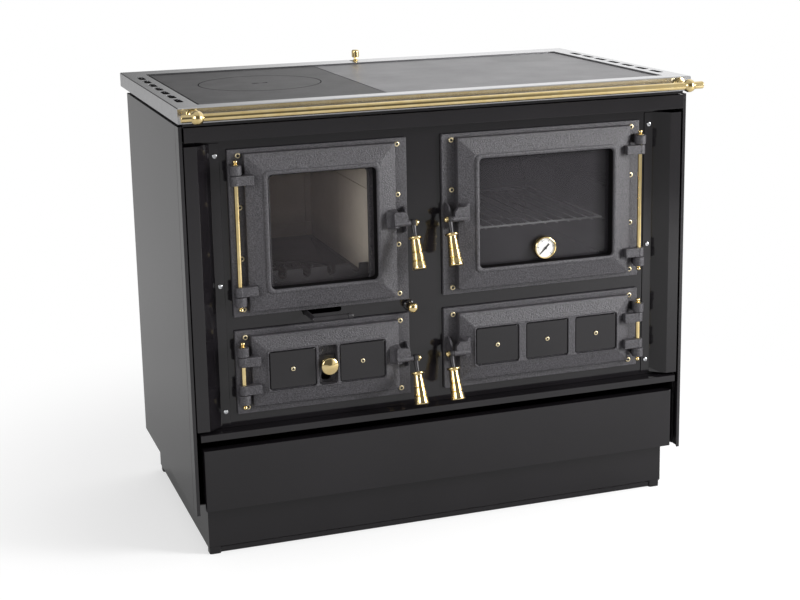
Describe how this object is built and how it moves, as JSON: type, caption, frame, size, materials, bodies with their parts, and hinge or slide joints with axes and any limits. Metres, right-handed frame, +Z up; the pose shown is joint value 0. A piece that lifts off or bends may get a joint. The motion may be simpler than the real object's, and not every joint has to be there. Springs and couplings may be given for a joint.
{
  "type": "wood cookstove",
  "caption": "Freestanding wood-burning kitchen cookstove with a steel worktop, cast hob plates, brass rail, bevelled cast doors with lever latches, and a storage drawer over the plinth.",
  "frame": {"origin": "on the floor, below the middle of the object's bounding box", "axes": "+X to the stove's right as seen from the front, +Y to its back, +Z up; the doors face -Y"},
  "size_m": [1.006, 0.6524, 0.876],
  "materials": {
    "side_enamel": "gloss black enamel on the outer sheets",
    "black_enamel": "smooth black enamel on the front, drawer and plinth",
    "textured_casting": "fine orange-peel charcoal paint on the cast doors and frames",
    "worktop_steel": "satin steel, finely brushed along its length",
    "hob_iron": "ground cast iron, dark grey",
    "hob_steel": "satin plate with a faint heat bloom",
    "brass": "polished and lacquered",
    "dark_iron": "blackened cast iron",
    "oven_sheet": "speckled oven enamel",
    "rack_wire": "bright wire",
    "firebrick": "pale refractory, sooted toward the hearth",
    "fire_glass": "clear ceramic glass with a brown smoke tint",
    "oven_glass_dark": "near-black tinted glass"
  },
  "bodies": {
    "stove": {"side_panel_left": "side_enamel", "side_panel_right": "side_enamel", "front_post_left": "side_enamel", "front_post_right": "side_enamel", "back_panel": "black_enamel", "base_plate": "black_enamel", "plinth": "black_enamel", "top_rails": "black_enamel", "worktop_frame": "worktop_steel", "hob_plate_left": "hob_iron", "hob_plate_right": "hob_steel", "towel_rail": "brass", "front_plate": "black_enamel", "fascia": "black_enamel", "sill_rail": "black_enamel", "pillar_trim_left": "black_enamel", "pillar_trim_right": "black_enamel", "firebox_frame": "textured_casting", "oven_frame": "textured_casting", "ash_frame": "textured_casting", "lower_frame": "textured_casting", "firebox_hinge_rod": "brass", "oven_hinge_rod": "brass", "ash_hinge_rod": "brass", "lower_hinge_rod": "brass", "firebox_bricks": "firebrick", "hearth": "dark_iron", "log_guard": "dark_iron", "oven_box": "oven_sheet", "oven_rack": "rack_wire", "ash_compartment": "dark_iron", "ash_pan": "dark_iron", "lower_compartment": "dark_iron"},
    "firebox_door": {"firebox_door": "textured_casting", "firebox_glass": "fire_glass"},
    "firebox_lever": {"firebox_lever": "dark_iron", "firebox_grip": "brass"},
    "oven_door": {"oven_door": "textured_casting", "oven_glass": "oven_glass_dark", "thermometer": "brass"},
    "oven_lever": {"oven_lever": "dark_iron", "oven_grip": "brass"},
    "thermometer_needle": {"thermometer_needle": "dark_iron"},
    "ash_door": {"ash_door": "textured_casting", "ash_door_plate_1": "black_enamel", "ash_door_plate_2": "black_enamel"},
    "ash_lever": {"ash_lever": "dark_iron", "ash_grip": "brass"},
    "air_slider": {"air_slider": "brass"},
    "lower_door": {"lower_door": "textured_casting", "lower_door_plate_1": "black_enamel", "lower_door_plate_2": "black_enamel", "lower_door_plate_3": "black_enamel"},
    "lower_lever": {"lower_lever": "dark_iron", "lower_grip": "brass"},
    "drawer": {"drawer": "black_enamel"},
    "hob_cover": {"hob_cover": "hob_iron"},
    "air_pull_knob": {"air_pull_knob": "brass"},
    "damper_knob": {"damper_knob": "brass"},
    "grate": {"grate": "dark_iron"}
  },
  "joints": [
    {"name": "firebox_door_hinge", "type": "hinge", "parent": "stove", "child": "firebox_door", "pos_m": [-0.3995, -0.26175, 0.6115], "axis": [0, 0, -1], "range_deg": [0, 110]},
    {"name": "firebox_latch", "type": "hinge", "parent": "firebox_door", "child": "firebox_lever", "pos_m": [-0.0725, -0.27575, 0.6115], "axis": [-1, 0, 0], "range_deg": [0, 70]},
    {"name": "oven_door_hinge", "type": "hinge", "parent": "stove", "child": "oven_door", "pos_m": [0.3995, -0.26175, 0.6115], "axis": [0, 0, 1], "range_deg": [0, 110]},
    {"name": "oven_latch", "type": "hinge", "parent": "oven_door", "child": "oven_lever", "pos_m": [-0.0005, -0.27575, 0.6115], "axis": [-1, 0, 0], "range_deg": [0, 70]},
    {"name": "ash_door_hinge", "type": "hinge", "parent": "stove", "child": "ash_door", "pos_m": [-0.3995, -0.26175, 0.3515], "axis": [0, 0, -1], "range_deg": [0, 110]},
    {"name": "ash_latch", "type": "hinge", "parent": "ash_door", "child": "ash_lever", "pos_m": [-0.0725, -0.27575, 0.3515], "axis": [-1, 0, 0], "range_deg": [0, 70]},
    {"name": "lower_door_hinge", "type": "hinge", "parent": "stove", "child": "lower_door", "pos_m": [0.3995, -0.26175, 0.3515], "axis": [0, 0, 1], "range_deg": [0, 110]},
    {"name": "lower_latch", "type": "hinge", "parent": "lower_door", "child": "lower_lever", "pos_m": [-0.0005, -0.27575, 0.3515], "axis": [-1, 0, 0], "range_deg": [0, 70]},
    {"name": "needle_turn", "type": "hinge", "parent": "oven_door", "child": "thermometer_needle", "pos_m": [0.20325, -0.25375, 0.534], "axis": [0, 1, 0], "range_deg": [0, 250]},
    {"name": "air_slide", "type": "slide", "parent": "ash_door", "child": "air_slider", "axis": [0, 0, 1], "range_m": [-0.02, 0.02]},
    {"name": "drawer_slide", "type": "slide", "parent": "stove", "child": "drawer", "axis": [0, -1, 0], "range_m": [0, 0.38]},
    {"name": "cover_lift", "type": "slide", "parent": "stove", "child": "hob_cover", "axis": [0, 0, 1], "range_m": [0, 0.1]},
    {"name": "air_pull", "type": "slide", "parent": "stove", "child": "air_pull_knob", "axis": [0, -1, 0], "range_m": [0, 0.03]},
    {"name": "damper_slide", "type": "slide", "parent": "stove", "child": "damper_knob", "axis": [0, 1, 0], "range_m": [0, 0.032]},
    {"name": "grate_shake", "type": "hinge", "parent": "stove", "child": "grate", "pos_m": [-0.23975, -0.01175, 0.45], "axis": [0, 0, 1], "range_deg": [0, 16]}
  ]
}
